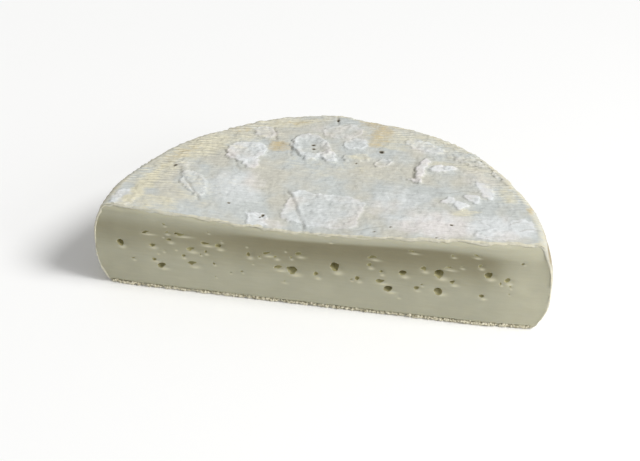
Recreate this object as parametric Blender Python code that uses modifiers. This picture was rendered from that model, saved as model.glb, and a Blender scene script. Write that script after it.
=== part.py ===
"""Half wheel of a soft pressed cheese with a thin white rind, lying on its flat base.

The wheel is a turned profile: a flat base, a side that bulges at half height and a top with a
soft shoulder. It is then made as uneven as a real cheese and cut through the middle by a block
whose face carries the slightly hollow shape that the paste takes when it is cut.

Metres, +Z up. The cut face looks along -Y, its long side lies along X, and the origin is the
centre of the bounding box on the base.
"""
import math

import bmesh
import bpy
from mathutils import Vector

# Driving dimensions, in metres.
WHEEL_DIAMETER = 0.300
WHEEL_HEIGHT = 0.0615
SHOULDER_INSET = 0.009
SIDE_FULLNESS = 2.6
TOP_FILLET = 0.0060
BASE_FILLET = 0.0040

# Unevenness of the top near the cut: it sags in the middle and rises at the right end.
SAG_DEPTH = 0.0042
SAG_CENTRE_X = -0.012
SAG_HALF_LENGTH = 0.060
END_RISE = 0.0015
END_RISE_START_X = 0.030
END_RISE_FULL_X = 0.120
CUT_INFLUENCE = 0.048
TOP_UNDULATION = 0.0006
TOP_WAVES_PER_METRE = (41.0, 53.0)

# Unevenness of the rim: swellings and dents as (angle in degrees, width in degrees, height).
RIM_HUMPS = (
    (103.0, 14.0, +0.0034),
    (83.0, 9.0, -0.0026),
    (128.0, 8.0, -0.0016),
    (34.0, 11.0, -0.0020),
    (15.0, 8.0, -0.0012),
)
RIM_RIPPLE = 0.0004
RIM_RIPPLE_COUNT = 9

# The cut face, from the top down: a lip that leans back, a hollow, and a foot that comes forward.
LIP_HEIGHT = 0.0080
LIP_HEIGHT_AT_END = 0.0030
LIP_LEAN = 0.0020
LIP_LEAN_AT_END = 0.0045
LIP_CURVE = 1.6
HOLLOW_DEPTH = 0.0014
HOLLOW_BELOW_TOP = 0.0170
HOLLOW_HALF_HEIGHT = 0.0110
FOOT_ADVANCE = 0.0008

# Faceting.
RING_STEPS = 120
TOP_RINGS = 8
FILLET_POINTS = 4
SIDE_POINTS = 9
CUT_COLUMNS = 44
CUT_ROWS = 22

# The knife block, which only has to be larger than the wheel. Its ends are shares of the height.
BLOCK_LENGTH = 0.340
BLOCK_DEPTH = 0.200
BLOCK_FOOT = -0.20
BLOCK_HEAD = 1.20

# Limits for measuring slopes and for finishing the mesh.
WELD_DISTANCE = 0.00005
SLOPE_STEP = 0.0002
SMOOTH_LIMIT = math.radians(40.0)

RADIUS = WHEEL_DIAMETER / 2
HALF_HEIGHT = WHEEL_HEIGHT / 2


def bump(value, centre, width):
    """A smooth hump of height 1 at centre, which fades out over width."""
    return math.exp(-((value - centre) / width) ** 2)


def smooth_step(low, high, value):
    """0 below low, 1 above high, with a smooth ramp between."""
    t = min(max((value - low) / (high - low), 0.0), 1.0)
    return t * t * (3.0 - 2.0 * t)


def side_radius(z):
    """Radius of the bulging side at height z, before the fillets."""
    return RADIUS - SHOULDER_INSET * abs(z / HALF_HEIGHT - 1.0) ** SIDE_FULLNESS


def side_lean(z):
    """Angle of the side's outward normal above the horizontal at height z."""
    return math.atan2(side_radius(z - SLOPE_STEP) - side_radius(z), SLOPE_STEP)


def fillet(edge_z, size, turn):
    """Points of a rounded corner between a flat face at edge_z and the side.

    turn is +1 for the top corner and -1 for the base corner. The arc starts level with the flat
    face and ends in line with the side, so its height is squeezed a little to meet both.
    """
    inner_z = edge_z - turn * size
    lean = turn * side_lean(inner_z)
    centre_r = side_radius(inner_z) - size * math.cos(lean)
    centre_z = inner_z - turn * size * math.sin(lean)
    squeeze = (edge_z - centre_z) / (turn * size)
    points = []
    for i in range(FILLET_POINTS):
        angle = math.pi / 2 + (lean - math.pi / 2) * i / FILLET_POINTS
        height = turn * size * math.sin(angle) * squeeze
        points.append((centre_r + size * math.cos(angle), centre_z + height))
    return points


def wheel_profile():
    """The turned outline as (radius, height), from the top's middle out, down and back in."""
    top_corner = fillet(WHEEL_HEIGHT, TOP_FILLET, +1)
    base_corner = fillet(0.0, BASE_FILLET, -1)
    flat_top = top_corner[0][0]
    outline = []
    for i in range(TOP_RINGS):
        outline.append((flat_top * i / TOP_RINGS, WHEEL_HEIGHT))
    outline.extend(top_corner)
    side_top = WHEEL_HEIGHT - TOP_FILLET
    for i in range(SIDE_POINTS):
        z = side_top + (BASE_FILLET - side_top) * i / (SIDE_POINTS - 1)
        outline.append((side_radius(z), z))
    outline.extend(reversed(base_corner))
    outline.append((0.0, 0.0))
    return outline


def rim_change(angle):
    """How far the rim stands out of the true circle at an angle round the wheel."""
    change = RIM_RIPPLE * math.sin(RIM_RIPPLE_COUNT * angle)
    for centre, width, height in RIM_HUMPS:
        change += height * bump(math.degrees(angle), centre, width)
    return change


def top_change(x, y):
    """How far the top stands above its nominal height."""
    near_cut = math.exp(-(y / CUT_INFLUENCE) ** 2)
    sag = SAG_DEPTH * bump(x, SAG_CENTRE_X, SAG_HALF_LENGTH)
    rise = END_RISE * smooth_step(END_RISE_START_X, END_RISE_FULL_X, x)
    across, along = TOP_WAVES_PER_METRE
    waves = math.sin(x * across + 0.6) * math.cos(y * along - 0.4)
    return near_cut * (rise - sag) + TOP_UNDULATION * waves


def uneven(point):
    """Where a point of the true turned wheel lies on the real, uneven one."""
    x, y, z = point
    radius = math.hypot(x, y)
    angle = abs(math.atan2(y, x))
    stretch = 1.0 + rim_change(angle) * radius / RADIUS ** 2
    x *= stretch
    y *= stretch
    return (x, y, z + z / WHEEL_HEIGHT * top_change(x, max(y, 0.0)))


def cut_place(x, below_top):
    """Where the cut face lies in Y, for a wheel whose axis is at Y = 0."""
    below_top = max(below_top, 0.0)
    at_end = smooth_step(END_RISE_START_X, END_RISE_FULL_X, x)
    lean = LIP_LEAN + LIP_LEAN_AT_END * at_end
    lip_height = LIP_HEIGHT + LIP_HEIGHT_AT_END * at_end
    lip = lean * max(1.0 - below_top / lip_height, 0.0) ** LIP_CURVE
    hollow = HOLLOW_DEPTH * bump(below_top, HOLLOW_BELOW_TOP, HOLLOW_HALF_HEIGHT)
    foot = FOOT_ADVANCE * smooth_step(HOLLOW_BELOW_TOP, WHEEL_HEIGHT, below_top)
    return lip + hollow - foot


def make_material(name, color, roughness):
    material = bpy.data.materials.new(name)
    material.use_nodes = True
    shader = material.node_tree.nodes["Principled BSDF"]
    shader.inputs["Base Color"].default_value = (*color, 1.0)
    shader.inputs["Roughness"].default_value = roughness
    shader.inputs["Metallic"].default_value = 0.0
    return material


def turned_wheel(collection):
    """The whole wheel, turned from its profile and then made uneven."""
    outline = wheel_profile()
    mesh = bpy.data.meshes.new("wheel_profile")
    edges = [(i, i + 1) for i in range(len(outline) - 1)]
    mesh.from_pydata([(r, 0.0, z) for r, z in outline], edges, [])
    profile = bpy.data.objects.new("wheel_profile", mesh)
    collection.objects.link(profile)
    screw = profile.modifiers.new("turn", "SCREW")
    screw.angle = math.tau
    screw.steps = RING_STEPS
    screw.render_steps = RING_STEPS
    screw.use_merge_vertices = True
    screw.merge_threshold = WELD_DISTANCE
    screw.use_smooth_shade = True

    evaluated = profile.evaluated_get(bpy.context.evaluated_depsgraph_get())
    turned = bpy.data.meshes.new_from_object(evaluated)
    bpy.data.objects.remove(profile)
    for vertex in turned.vertices:
        vertex.co = uneven(vertex.co)
    wheel = bpy.data.objects.new("half_wheel", turned)
    collection.objects.link(wheel)
    return wheel


def knife_block(collection):
    """A block in front of the wheel, whose back face is the shape of the cut."""
    mesh = bpy.data.meshes.new("knife_block")
    grid = bmesh.new()
    bmesh.ops.create_grid(grid, x_segments=CUT_COLUMNS, y_segments=CUT_ROWS, size=0.5)
    sheet = list(grid.faces)
    for vertex in grid.verts:
        x = vertex.co.x * BLOCK_LENGTH
        top = WHEEL_HEIGHT + top_change(x, 0.0)
        share = BLOCK_FOOT + (BLOCK_HEAD - BLOCK_FOOT) * (vertex.co.y + 0.5)
        z = top * share
        vertex.co = (x, cut_place(x, top - z), z)
    pulled = bmesh.ops.extrude_face_region(grid, geom=sheet)["geom"]
    for item in pulled:
        if isinstance(item, bmesh.types.BMVert):
            item.co.y = -BLOCK_DEPTH
    bmesh.ops.recalc_face_normals(grid, faces=grid.faces)
    grid.to_mesh(mesh)
    grid.free()
    block = bpy.data.objects.new("knife_block", mesh)
    block.hide_render = True
    block.display_type = "WIRE"
    collection.objects.link(block)
    return block


def cut_in_half(wheel, block):
    """Cut the wheel and keep the result as the object's own mesh, centred on its base."""
    boolean = wheel.modifiers.new("cut", "BOOLEAN")
    boolean.operation = "DIFFERENCE"
    boolean.solver = "EXACT"
    boolean.object = block
    evaluated = wheel.evaluated_get(bpy.context.evaluated_depsgraph_get())
    half = bpy.data.meshes.new_from_object(evaluated)
    wheel.modifiers.remove(boolean)

    tidy = bmesh.new()
    tidy.from_mesh(half)
    bmesh.ops.remove_doubles(tidy, verts=tidy.verts, dist=WELD_DISTANCE)
    bmesh.ops.triangulate(tidy, faces=tidy.faces)
    tidy.to_mesh(half)
    tidy.free()

    low = Vector([min(v.co[axis] for v in half.vertices) for axis in range(3)])
    high = Vector([max(v.co[axis] for v in half.vertices) for axis in range(3)])
    middle = (low + high) / 2
    for vertex in half.vertices:
        vertex.co -= Vector((middle.x, middle.y, low.z))
    half.name = "half_wheel"
    wheel.data = half
    half.shade_smooth()
    half.set_sharp_from_angle(angle=SMOOTH_LIMIT)


def main():
    for item in list(bpy.data.objects):
        bpy.data.objects.remove(item)
    parts = bpy.data.collections.new("half_cheese_wheel")
    cutters = bpy.data.collections.new("cutters")
    bpy.context.scene.collection.children.link(parts)
    bpy.context.scene.collection.children.link(cutters)

    wheel = turned_wheel(parts)
    block = knife_block(cutters)
    bpy.context.view_layer.update()
    cut_in_half(wheel, block)
    wheel.data.materials.clear()
    wheel.data.materials.append(make_material("white_rind", (0.66, 0.66, 0.60), 0.75))


main()
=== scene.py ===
"""Looks of a half cheese wheel: its mouldy rind, its cut paste with eyes, loose crumbs and a studio."""

import math
import random

import bmesh
import bpy
import numpy as np
from bpy.props import FloatProperty, FloatVectorProperty, IntProperty, PointerProperty
from mathutils import Matrix, Vector, noise


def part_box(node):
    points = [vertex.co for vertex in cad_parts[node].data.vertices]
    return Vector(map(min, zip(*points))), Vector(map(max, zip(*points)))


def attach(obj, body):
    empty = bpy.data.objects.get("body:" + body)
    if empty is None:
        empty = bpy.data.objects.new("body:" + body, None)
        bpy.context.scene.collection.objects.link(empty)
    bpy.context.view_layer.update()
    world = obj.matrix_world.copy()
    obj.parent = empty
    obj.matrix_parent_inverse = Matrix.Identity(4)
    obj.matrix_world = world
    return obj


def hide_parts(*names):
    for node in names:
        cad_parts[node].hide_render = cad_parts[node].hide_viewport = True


bl_info = {
    "name": "Half Cheese Wheel",
    "version": (1, 0, 0),
    "blender": (4, 5, 0),
    "location": "View3D > Sidebar > Cheese",
    "description": "Finishes a half wheel of white-rind cheese round its packed solid",
    "category": "Object",
}

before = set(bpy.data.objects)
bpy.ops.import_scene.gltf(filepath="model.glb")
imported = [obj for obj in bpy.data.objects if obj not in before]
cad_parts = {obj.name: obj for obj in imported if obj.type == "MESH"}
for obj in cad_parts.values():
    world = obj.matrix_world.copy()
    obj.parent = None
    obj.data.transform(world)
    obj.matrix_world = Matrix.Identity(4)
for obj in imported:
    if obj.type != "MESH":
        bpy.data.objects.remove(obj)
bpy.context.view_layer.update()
BOX_LOW, BOX_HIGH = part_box("half_wheel")
BODY = "root"
MM = 0.001

# The wheel's own shape, as its solid has it.
RADIUS = 0.150
WHEEL_HEIGHT = 0.0615
HALF_HEIGHT = WHEEL_HEIGHT / 2
SHOULDER_INSET = 9.0 * MM
SIDE_FULLNESS = 2.6
TOP_FILLET = 6.0 * MM
BASE_FILLET = 4.0 * MM
SAG_DEPTH = 4.2 * MM
SAG_CENTRE_X = -12.0 * MM
SAG_HALF_LENGTH = 60.0 * MM
END_RISE = 1.5 * MM
END_RISE_START_X = 30.0 * MM
END_RISE_FULL_X = 120.0 * MM
CUT_INFLUENCE = 48.0 * MM
TOP_UNDULATION = 0.6 * MM
TOP_WAVES_PER_METRE = (41.0, 53.0)
RIM_HUMPS = (
    (103.0, 14.0, +3.4 * MM),
    (83.0, 9.0, -2.6 * MM),
    (128.0, 8.0, -1.6 * MM),
    (34.0, 11.0, -2.0 * MM),
    (15.0, 8.0, -1.2 * MM),
)
RIM_RIPPLE = 0.4 * MM
RIM_RIPPLE_COUNT = 9
LIP_HEIGHT = 8.0 * MM
LIP_HEIGHT_AT_END = 3.0 * MM
LIP_LEAN = 2.0 * MM
LIP_LEAN_AT_END = 4.5 * MM
LIP_CURVE = 1.6
HOLLOW_DEPTH = 1.4 * MM
HOLLOW_BELOW_TOP = 17.0 * MM
HOLLOW_HALF_HEIGHT = 11.0 * MM
FOOT_ADVANCE = 0.8 * MM

# The wheel's axis in the frame: the cut's foot is the solid's foremost line.
AXIS_X = (BOX_LOW.x + BOX_HIGH.x) / 2
AXIS_Y = BOX_LOW.y + FOOT_ADVANCE

# Meshing. Fine counts across the cut and down the side are STEP times the coarse ones.
STEP = 5
RIND_ACROSS, RIND_DEEP, RIND_ROWS = 300, 240, 25
PASTE_STEP = 6
PASTE_ACROSS, PASTE_ROWS = 480, 120
COARSE_DEEP = 24
PASTE_INSET = 0.8 * MM
PASTE_RECESS = 0.35 * MM

# How the finished cut differs from the plain solid's: turned back at its ends, foot and left lip.
RIGHT_END_TURN = 2.4 * MM
LEFT_END_TURN = 1.2 * MM
FOOT_TURN = 1.3 * MM
LEFT_LIP_TURN = 1.6 * MM
LEFT_LIP_HEIGHT = 20 * MM

# Lights: where each stands in metres; both look at the wheel.
KEY_SUN_PLACE = (1.00, -0.04, 1.00)
SIDE_SOFTBOX_PLACE = (0.75, -0.35, 0.45)
SIDE_SOFTBOX_SIZE = 0.35

# Size of the lumps that make the eyes and the crumbs uneven.
EYE_LUMP_SIZE = 3.2 * MM
CRUMB_LUMP_SIZE = 0.9 * MM

# The rind's edge from outside in: (share of its width, share of the bevel left, millimetres sunk).
RIM_ROWS = (
    (0.15, 0.80, 0.0),
    (0.40, 0.45, 0.0),
    (0.70, 0.15, 0.0),
    (0.92, 0.10, 0.2),
    (1.00, 0.00, 1.7),
)

# Mix node sockets that carry colour.
MIX_FACTOR, MIX_A, MIX_B, MIX_RESULT = 0, 6, 7, 2

# Raised flakes and patches of the rind, in millimetres from the middle of the cut:
# (x, y, half length, half width, turn in degrees, squareness, height, hollow share, whiteness).
FLAKES = (
    (-65, 83, 15, 13, 40, 1.7, 1.05, 0.45, 0.85),
    (-57, 69, 6, 8, 25, 1.8, 0.60, 0.00, 0.80),
    (-22, 98, 18, 13, -58, 2.2, 1.10, 0.80, 0.62),
    (-8, 88, 8, 6, -20, 2.0, 0.90, 0.20, 0.75),
    (11, 91, 9, 5, 6, 2.4, 0.60, 0.20, 0.10),
    (31, 87, 6, 6, 0, 2.2, 0.60, 0.25, 0.50),
    (58, 84, 13, 3.6, 82, 2.6, 1.05, 0.05, 0.85),
    (55, 69, 4, 3, 20, 2.0, 0.90, 0.05, 0.80),
    (72, 85, 10, 4, 14, 2.2, 0.95, 0.10, 0.85),
    (79, 47, 6, 4, 20, 2.0, 0.90, 0.20, 0.90),
    (87, 42, 5, 5, -30, 2.4, 1.00, 0.20, 1.00),
    (95, 52, 5, 6, 15, 2.0, 0.85, 0.30, 0.90),
    (102, 63, 12, 4, -62, 2.4, 0.75, 0.10, 1.00),
    (0, 27, 26, 18, -6, 4.0, 0.46, 0.25, 0.62),
    (-90, 40, 16, 8, -58, 1.7, 0.65, 0.20, 0.55),
    (-42, 9, 7, 11, 8, 3.0, 0.45, 0.20, 0.90),
    (128, 26, 8, 8, 10, 2.6, 0.55, 0.20, 0.80),
    (112, 14, 14, 6, 4, 2.6, 0.40, 0.20, 0.70),
    (-131, 13, 7, 12, 5, 2.0, 0.45, 0.15, 0.70),
    (-57, 112, 10, 7, -25, 2.4, 0.45, 0.10, 0.60),
    (-3, 122, 14, 9, 10, 2.6, 0.40, 0.10, 0.50),
    (8, 106, 9, 7, 0, 2.2, 0.50, 0.20, 0.60),
    (56, 112, 15, 6, -14, 2.4, 0.45, 0.10, 0.60),
    (88, 98, 12, 5, -30, 2.2, 0.45, 0.10, 0.40),
    (112, 84, 8, 6, -50, 2.2, 0.45, 0.10, 0.40),
    (-104, 60, 7, 4, 10, 2.0, 0.45, 0.10, 0.40),
)
# Welts (+) and creases (-): (x1, y1, x2, y2, half width, height).
WELTS = (
    (-80, 84, -64, 62, 0.8, -0.45),
    (-37, 112, -34, 84, 0.9, -0.60),
    (-52, 121, -46, 103, 0.6, -0.65),
    (-27, 44, -9, 6, 0.8, -0.48),
    (-24, 42, -6, 6, 1.4, +0.35),
    (-104, 54, -82, 24, 0.8, -0.60),
    (-24, 48, 25, 47, 1.1, +0.30),
    (53, 66, 52, 97, 1.2, -0.35),
    (18, 34, 26, 18, 0.7, +0.30),
    (8, 2, 42, 15, 0.5, -0.35),
    (-48, 19, -38, 14, 0.6, -0.40),
    (-42, 19, -36, 8, 0.6, -0.40),
    (-46, 14, -45, 1, 0.6, -0.40),
    (120, 26, 128, 32, 0.6, -0.60),
    (126, 20, 137, 24, 0.6, -0.60),
    (74, 2, 80, 8, 0.6, -0.50),
    (101, 26, 107, 25, 0.6, -0.45),
    (-10, 140, -8, 133, 0.9, -0.70),
    (-60, 104, -40, 99, 0.8, -0.40),
    (70, 55, 96, 62, 0.7, -0.35),
    (66, 103, 92, 96, 0.8, -0.35),
)
# Small pits, painted near-black inside as painted shade: (x, y, radius).
SHADED_PITS = (
    (-109, 57.5, 1.1),
    (-62, 24.5, 0.8),
    (12.5, 84.5, 0.8),
    (28, 100, 1.8),
    (-39, 16, 1.2),
    (-41, 14, 0.8),
    (-20, 100, 1.2),
    (-19, 94, 0.9),
    (85, 22, 0.8),
    (36, 8, 0.6),
    (46, 14, 0.6),
    (76, 7, 0.7),
    (-9, 137, 1.2),
)
# Soft colour zones: (x, y, half length, half width, turn in degrees, strength).
CREAM_ZONES = (
    (-122, 32, 38, 6, 76, 0.92),
    (-98, 84, 32, 15, 42, 0.72),
    (-45, 128, 28, 7, 18, 0.66),
    (-110, 12, 18, 10, -10, 0.62),
    (-95, 34, 30, 26, 0, 0.30),
    (0, 76, 45, 20, 0, 0.22),
    (70, 92, 9, 4, 10, 0.62),
    (13, 91, 9, 4, 5, 0.55),
    (91, 35, 10, 4, 10, 0.68),
    (117, 60, 13, 6, -58, 0.68),
    (85, 112, 28, 7, -38, 0.44),
    (58, 123, 22, 6, -20, 0.55),
    (34, 116, 20, 14, 0, 0.55),
    (90, 92, 18, 10, -40, 0.36),
)
OCHRE_ZONES = (
    (24, 120, 10, 18, -8, 0.62),
    (18, 135, 15, 5, -4, 0.60),
    (-44, 95, 11, 8, 5, 0.78),
    (-108, 74, 22, 7, 50, 0.40),
    (-74, 116, 16, 5, 30, 0.42),
    (133, 46, 12, 2.4, -68, 0.70),
    (-40, 130, 22, 3, 16, 0.45),
)
WHITE_ZONES = (
    (-62, 42, 24, 22, 0, 0.66),
    (48, 38, 26, 24, 0, 0.62),
    (4, 22, 24, 16, 0, 0.62),
    (114, 22, 26, 16, 0, 0.88),
    (75, 20, 34, 16, 0, 0.92),
    (98, 74, 22, 12, -50, 0.50),
    (-131, 13, 8, 12, 5, 0.85),
    (-30, 6, 14, 8, 0, 0.60),
    (-12, 124, 16, 8, 0, 0.50),
    (8, 110, 10, 10, 0, 0.60),
    (60, 108, 18, 8, -10, 0.52),
    (-57, 111, 11, 8, 0, 0.55),
)

# The larger eyes of the paste, in millimetres: (x, height, half width, half height, depth).
LARGE_EYES = (
    (-132, 34, 2.2, 1.8, 5.0),
    (-104, 20, 2.6, 1.6, 5.0),
    (-84, 35, 3.0, 1.3, 2.2),
    (-83, 24, 2.9, 1.6, 2.4),
    (-91, 45, 4.6, 0.8, 1.6),
    (-114, 44, 3.6, 0.7, 1.4),
    (-74, 40, 3.2, 0.9, 2.0),
    (-65, 39, 2.0, 1.4, 2.6),
    (-98, 40, 1.8, 1.2, 2.4),
    (-110, 35, 1.9, 1.1, 1.6),
    (-109, 24, 1.9, 0.9, 1.5),
    (-33, 37, 2.8, 0.9, 1.6),
    (-25, 28, 3.2, 1.2, 2.6),
    (-16, 27, 3.6, 1.9, 5.5),
    (-12, 39, 2.4, 1.1, 2.0),
    (0, 26, 1.6, 1.6, 3.0),
    (12, 33, 2.9, 2.5, 5.5),
    (27, 27, 1.6, 1.4, 1.8),
    (36, 43, 3.0, 0.9, 1.8),
    (42, 27, 3.0, 1.0, 3.0),
    (47, 22, 2.8, 1.8, 6.0),
    (56, 34.5, 2.3, 1.5, 5.5),
    (65, 25, 1.8, 1.2, 1.8),
    (69, 39, 1.9, 1.3, 2.4),
    (79, 37, 3.1, 2.2, 7.0),
    (79, 25, 2.8, 1.8, 6.5),
    (84, 41.5, 3.2, 0.7, 1.4),
    (88, 32, 2.1, 1.2, 3.0),
    (61, 51, 2.6, 0.8, 1.6),
    (110, 39.5, 2.6, 1.7, 4.5),
    (122, 37, 2.0, 1.6, 2.8),
    (107, 24, 1.7, 1.2, 1.8),
    (101, 53, 2.0, 0.8, 1.4),
)


def bump(value, centre, width):
    """A smooth hump of height 1 at centre, which fades out over width."""
    return np.exp(-((value - centre) / width) ** 2)


def smooth_step(low, high, value):
    """0 below low, 1 above high, with a smooth ramp between."""
    t = np.clip((value - low) / (high - low), 0.0, 1.0)
    return t * t * (3.0 - 2.0 * t)


def cloud(points, size, seed, depth=3):
    """Soft random field, about -1 to 1, whose blotches are about size metres across."""
    shift = Vector((17.3, 5.1, 9.7)) * seed
    places = [Vector(point) / size + shift for point in points.tolist()]
    return np.array([noise.fractal(place, 1.0, 2.0, depth) for place in places])


def side_radius(z):
    """Radius of the bulging side at height z, before the fillets."""
    return RADIUS - SHOULDER_INSET * abs(z / HALF_HEIGHT - 1.0) ** SIDE_FULLNESS


def fillet_points(edge_z, size, turn, count=16):
    """Rounded corner between a flat face at edge_z and the side; turn is +1 at the top."""
    inner_z = edge_z - turn * size
    step = 0.2 * MM
    slope = math.atan2(side_radius(inner_z - step) - side_radius(inner_z), step)
    lean = turn * slope
    centre_r = side_radius(inner_z) - size * math.cos(lean)
    centre_z = inner_z - turn * size * math.sin(lean)
    squeeze = (edge_z - centre_z) / (turn * size)
    angles = np.linspace(math.pi / 2, lean, count)
    radii = centre_r + size * np.cos(angles)
    heights = centre_z + turn * size * squeeze * np.sin(angles)
    return np.stack([radii, heights], 1)


def side_profile(rows, inset):
    """Side outline as (radius, height), from the flat top's edge to the base's, moved in by inset."""
    top = fillet_points(WHEEL_HEIGHT, TOP_FILLET, +1)
    foot = fillet_points(0.0, BASE_FILLET, -1)[::-1]
    heights = np.linspace(top[-1, 1], foot[0, 1], 60)[1:-1]
    side = np.stack([side_radius(heights), heights], 1)
    outline = np.concatenate([top, side, foot])
    run = np.concatenate([[0.0], np.cumsum(np.linalg.norm(np.diff(outline, axis=0), axis=1))])
    places = np.linspace(0.0, run[-1], rows + 1)
    even = np.stack([np.interp(places, run, outline[:, axis]) for axis in range(2)], 1)
    slope = np.gradient(even, axis=0)
    slope[0] = (1.0, 0.0)
    slope[-1] = (-1.0, 0.0)
    slope /= np.linalg.norm(slope, axis=1, keepdims=True)
    normal = np.stack([-slope[:, 1], slope[:, 0]], 1)
    return even - inset * normal


def rim_change(angle):
    """How far the rim stands out of the true circle at an angle round the wheel."""
    change = RIM_RIPPLE * np.sin(RIM_RIPPLE_COUNT * angle)
    for centre, width, height in RIM_HUMPS:
        change = change + height * bump(np.degrees(angle), centre, width)
    return change


def top_change(x, y):
    """How far the top stands above its nominal height."""
    near_cut = np.exp(-(y / CUT_INFLUENCE) ** 2)
    sag = SAG_DEPTH * bump(x, SAG_CENTRE_X, SAG_HALF_LENGTH)
    rise = END_RISE * smooth_step(END_RISE_START_X, END_RISE_FULL_X, x)
    across, along = TOP_WAVES_PER_METRE
    waves = np.sin(x * across + 0.6) * np.cos(y * along - 0.4)
    return near_cut * (rise - sag) + TOP_UNDULATION * waves


def cut_place(x, below_top):
    """Where the cut face lies in Y, for a wheel whose axis is at Y = 0."""
    below_top = np.maximum(below_top, 0.0)
    at_end = smooth_step(END_RISE_START_X, END_RISE_FULL_X, x)
    lean = LIP_LEAN + LIP_LEAN_AT_END * at_end
    lip_height = LIP_HEIGHT + LIP_HEIGHT_AT_END * at_end
    lip = lean * np.maximum(1.0 - below_top / lip_height, 0.0) ** LIP_CURVE
    hollow = HOLLOW_DEPTH * bump(below_top, HOLLOW_BELOW_TOP, HOLLOW_HALF_HEIGHT)
    foot = FOOT_ADVANCE * smooth_step(HOLLOW_BELOW_TOP, WHEEL_HEIGHT, below_top)
    return lip + hollow - foot


def below_top(x, z):
    """Depth of a point of the cut face below the top edge, in the nominal wheel's measure."""
    top = WHEEL_HEIGHT + top_change(x, 0.0 * x)
    return top - z


def wheel_points(radius, angle, height):
    """Points of the uneven wheel from places on the true turned one."""
    stretch = 1.0 + rim_change(angle) * radius / RADIUS ** 2
    x = radius * np.cos(angle) * stretch
    y = radius * np.sin(angle) * stretch
    z = height * (1.0 + top_change(x, np.maximum(y, 0.0)) / WHEEL_HEIGHT)
    return np.stack([x, y, z], -1)


def face_place(x, z):
    """Where the finished cut face lies in Y: the wheel's cut, turned back at its ends, foot and left lip."""
    under = below_top(x, z)
    right_end = RIGHT_END_TURN * smooth_step(102 * MM, 146 * MM, x)
    left_end = LEFT_END_TURN * smooth_step(-118 * MM, -148 * MM, x)
    foot = FOOT_TURN * smooth_step(4.2 * MM, 1.6 * MM, z)
    lip_fade = np.clip(1.0 - under / LEFT_LIP_HEIGHT, 0.0, 1.0) ** 2
    left_lip = LEFT_LIP_TURN * smooth_step(-20 * MM, -90 * MM, x) * lip_fade
    return cut_place(x, under) + (right_end + left_end) + foot + left_lip


class Sheet:
    """Outer or inner skin of the half wheel, open at the cut, as points, faces and the cut's loop."""

    def __init__(self, across, deep, rows, inset, recess):
        profile = side_profile(rows, inset)
        flat_radius = profile[0, 0]
        a, b = np.meshgrid(np.linspace(-1, 1, across + 1), np.linspace(0, 1, deep + 1))
        plan_x = a * np.sqrt(1.0 - b * b / 2)
        plan_y = b * np.sqrt(1.0 - a * a / 2)
        radius = flat_radius * np.hypot(plan_x, plan_y)
        angle = np.arctan2(plan_y, plan_x)
        top = wheel_points(radius, angle, np.full_like(radius, profile[0, 1]))
        grid = np.arange(top.shape[0] * top.shape[1]).reshape(top.shape[:2])
        columns = np.concatenate([grid[:, 0], grid[-1, 1:], grid[-2::-1, -1]])
        pull = np.concatenate([b[:, 0], b[-1, 1:], b[-2::-1, -1]])
        column_angle = angle.reshape(-1)[columns]

        radii, heights = profile[1:, 0], profile[1:, 1]
        side = wheel_points(radii[:, None], column_angle[None, :], heights[:, None])
        edge_x = np.linspace(side[-1, 0, 0], side[-1, -1, 0], across + 1)[1:-1]
        edge = np.stack([edge_x, 0.0 * edge_x, 0.0 * edge_x + heights[-1]], -1)

        shares = [(1.0 - b).reshape(-1), np.tile(1.0 - pull, rows), np.ones(len(edge_x))]
        self.points = np.concatenate([top.reshape(-1, 3), side.reshape(-1, 3), edge])
        share = np.concatenate(shares)
        x, z = self.points[:, 0], self.points[:, 2]
        self.points[:, 1] += (face_place(x, z) + recess) * share ** 3
        self.near_cut = share

        first_side = grid.size
        count = len(columns)
        lines = [columns] + [np.arange(count) + first_side + k * count for k in range(rows)]
        edge_line = np.arange(len(edge_x)) + first_side + rows * count
        squares = np.stack([grid[:-1, :-1], grid[:-1, 1:], grid[1:, 1:], grid[1:, :-1]], -1)
        self.faces = squares.reshape(-1, 4).tolist()
        for upper, lower in zip(lines[:-1], lines[1:]):
            self.faces += np.stack([upper[:-1], upper[1:], lower[1:], lower[:-1]], -1).tolist()
        self.faces.append(lines[-1].tolist() + edge_line[::-1].tolist())
        right = [line[-1] for line in lines[1:]]
        left = [line[0] for line in lines[:0:-1]]
        self.loop = np.array(grid[0].tolist() + right + edge_line[::-1].tolist() + left)


def make_piece(name, points, faces, materials):
    """A mesh object at the origin from points in the wheel's frame."""
    placed = points + np.array((AXIS_X, AXIS_Y, 0.0))
    mesh = bpy.data.meshes.new(name)
    mesh.from_pydata(placed.tolist(), [], faces)
    mesh.shade_smooth()
    for material in materials:
        mesh.materials.append(material)
    piece = bpy.data.objects.new(name, mesh)
    bpy.context.scene.collection.objects.link(piece)
    return piece


def clip_to_box(piece):
    """Press any point that stands out of the solid's box back onto it."""
    count = len(piece.data.vertices)
    places = np.empty(count * 3, dtype=np.float32)
    piece.data.vertices.foreach_get("co", places)
    places = np.clip(places.reshape(-1, 3), np.array(BOX_LOW), np.array(BOX_HIGH))
    piece.data.vertices.foreach_set("co", places.astype(np.float32).ravel())
    piece.data.update()


def store_values(mesh, name, values):
    """Keep one number for each point of a mesh, for its material or its node tree to read."""
    layer = mesh.attributes.new(name, "FLOAT", "POINT")
    layer.data.foreach_set("value", np.ascontiguousarray(values, dtype=np.float32))


def point_normals(mesh):
    normals = np.empty(len(mesh.vertices) * 3, dtype=np.float32)
    mesh.vertex_normals.foreach_get("vector", normals)
    return normals.reshape(-1, 3).astype(float)


def finish_piece(piece, slot, *replaced):
    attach(piece, BODY)
    for node in replaced:
        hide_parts(node)


def bake_modifiers(piece):
    """Turn what the modifiers make into the piece's own plain mesh."""
    evaluated = piece.evaluated_get(bpy.context.evaluated_depsgraph_get())
    result = bpy.data.meshes.new_from_object(evaluated)
    piece.modifiers.clear()
    piece.data = result
    result.name = piece.name


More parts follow.
